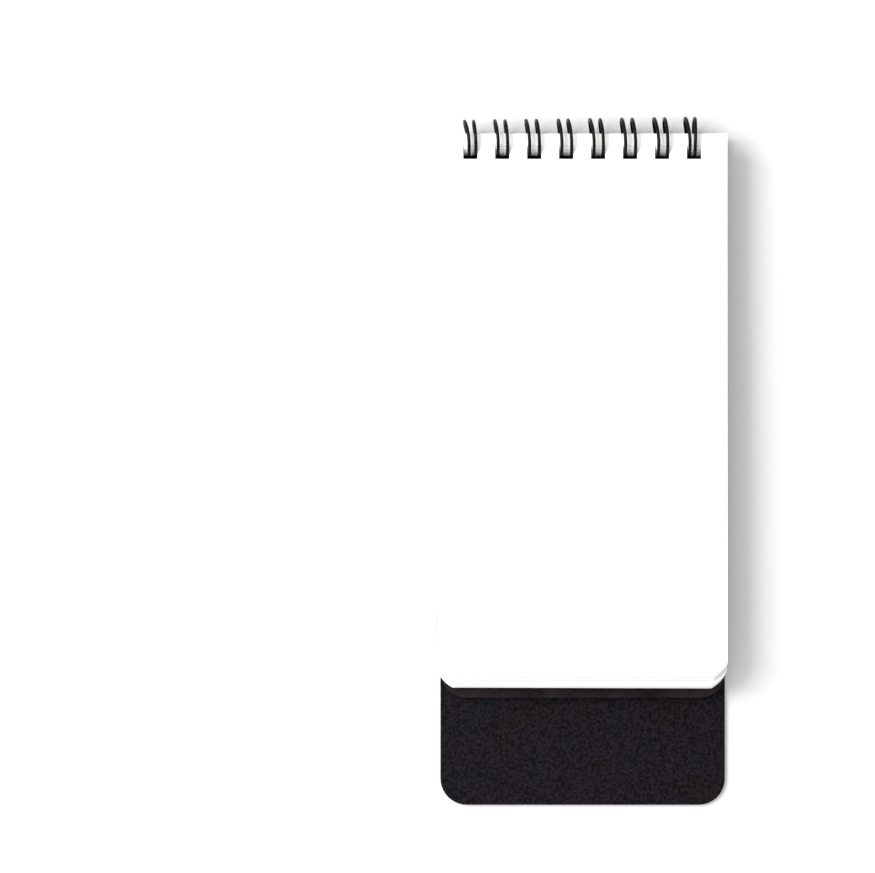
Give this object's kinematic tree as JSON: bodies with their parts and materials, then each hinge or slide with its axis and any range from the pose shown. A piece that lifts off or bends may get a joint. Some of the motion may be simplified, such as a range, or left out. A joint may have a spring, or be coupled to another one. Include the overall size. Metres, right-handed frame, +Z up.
{
  "type": "pocket notebook",
  "caption": "Top-bound pocket notebook with a wrap-round board cover, hidden-seam twin-loop wire, an elastic strap and blank sheets that turn",
  "frame": {"origin": "bottom centre of the bounding box of the open notebook as it lies, with the cover folded round behind the pages", "axes": "+X across the page to its right, +Y up the page to the wire binding, +Z up, out of the top page"},
  "size_m": [0.0762, 0.1834, 0.0132],
  "materials": {
    "cover_skin": "matte",
    "cover_board": "matte",
    "cover_lining": "matte",
    "backing_board": "matte",
    "binding_wire": "satin",
    "elastic": "matte",
    "page": "matte"
  },
  "bodies": {
    "root": {"back_cover_skin": "cover_skin", "back_cover_board": "cover_board", "back_cover_lining": "cover_lining", "backing_board": "backing_board", "wire_binding": "binding_wire", "elastic_tail_left": "elastic", "elastic_tail_right": "elastic", "sheet_pack_1": "page", "sheet_pack_2": "page", "sheet_pack_3": "page", "sheet_pack_4": "page", "sheet_pack_5": "page"},
    "hinge_strip": {"hinge_strip_board": "cover_board", "hinge_strip_skin": "cover_skin", "hinge_strip_lining": "cover_lining"},
    "spine": {"spine_board": "cover_board", "spine_skin": "cover_skin", "spine_lining": "cover_lining"},
    "front_cover": {"front_cover_board": "cover_board", "front_cover_skin": "cover_skin", "front_cover_lining": "cover_lining"},
    "elastic_side_left": {"elastic_side_left": "elastic"},
    "elastic_side_right": {"elastic_side_right": "elastic"},
    "elastic_strap_left": {"elastic_strap_left": "elastic"},
    "elastic_strap_right": {"elastic_strap_right": "elastic"},
    "sheet_01": {"sheet_01": "page"},
    "sheet_02": {"sheet_02": "page"},
    "sheet_03": {"sheet_03": "page"},
    "sheet_04": {"sheet_04": "page"},
    "sheet_05": {"sheet_05": "page"},
    "sheet_06": {"sheet_06": "page"}
  },
  "joints": [
    {"name": "cover_fold", "type": "hinge", "parent": "root", "child": "hinge_strip", "pos_m": [0, 0.0845, 0.0014], "axis": [1, 0, 0], "range_deg": [0, 180]},
    {"name": "spine_fold", "type": "hinge", "parent": "hinge_strip", "child": "spine", "pos_m": [0, 0.0745, 0], "axis": [1, 0, 0], "range_deg": [0, 90]},
    {"name": "front_fold", "type": "hinge", "parent": "spine", "child": "front_cover", "pos_m": [0, 0.0637, 0], "axis": [1, 0, 0], "range_deg": [0, 90]},
    {"name": "elastic_spread_left", "type": "slide", "parent": "root", "child": "elastic_side_left", "axis": [-1, 0, 0], "range_m": [0, 0.00085], "deforming": ["elastic_side_left"]},
    {"name": "elastic_spread_right", "type": "slide", "parent": "root", "child": "elastic_side_right", "axis": [1, 0, 0], "range_m": [0, 0.00085], "deforming": ["elastic_side_right"]},
    {"name": "elastic_wrap", "type": "slide", "parent": "elastic_side_left", "child": "elastic_strap_left", "axis": [0, 0, 1], "range_m": [0, 0.01355], "deforming": ["elastic_strap_left"]},
    {"name": "elastic_wrap_right", "type": "slide", "parent": "elastic_side_right", "child": "elastic_strap_right", "axis": [0, 0, 1], "range_m": [0, 0.01355], "deforming": ["elastic_strap_right"]},
    {"name": "sheet_06_turn", "type": "hinge", "parent": "root", "child": "sheet_06", "pos_m": [0, 0.08635, 0.00745], "axis": [1, 0, 0], "range_deg": [-180, 0]},
    {"name": "sheet_05_turn", "type": "hinge", "parent": "sheet_06", "child": "sheet_05", "pos_m": [0, 0.08635, 0.00745], "axis": [1, 0, 0], "range_deg": [-180, 0]},
    {"name": "sheet_04_turn", "type": "hinge", "parent": "sheet_05", "child": "sheet_04", "pos_m": [0, 0.08635, 0.00745], "axis": [1, 0, 0], "range_deg": [-180, 0]},
    {"name": "sheet_03_turn", "type": "hinge", "parent": "sheet_04", "child": "sheet_03", "pos_m": [0, 0.08635, 0.00745], "axis": [1, 0, 0], "range_deg": [-180, 0]},
    {"name": "sheet_02_turn", "type": "hinge", "parent": "sheet_03", "child": "sheet_02", "pos_m": [0, 0.08635, 0.00745], "axis": [1, 0, 0], "range_deg": [-180, 0]},
    {"name": "sheet_01_turn", "type": "hinge", "parent": "sheet_02", "child": "sheet_01", "pos_m": [0, 0.08635, 0.00745], "axis": [1, 0, 0], "range_deg": [-180, 0]}
  ],
  "couplings": [
    {"joint": "elastic_wrap_right", "follows": "elastic_wrap", "ratio": 1},
    {"joint": "elastic_spread_left", "follows": "elastic_wrap", "ratio": 0.06273},
    {"joint": "elastic_spread_right", "follows": "elastic_wrap", "ratio": 0.06273}
  ]
}
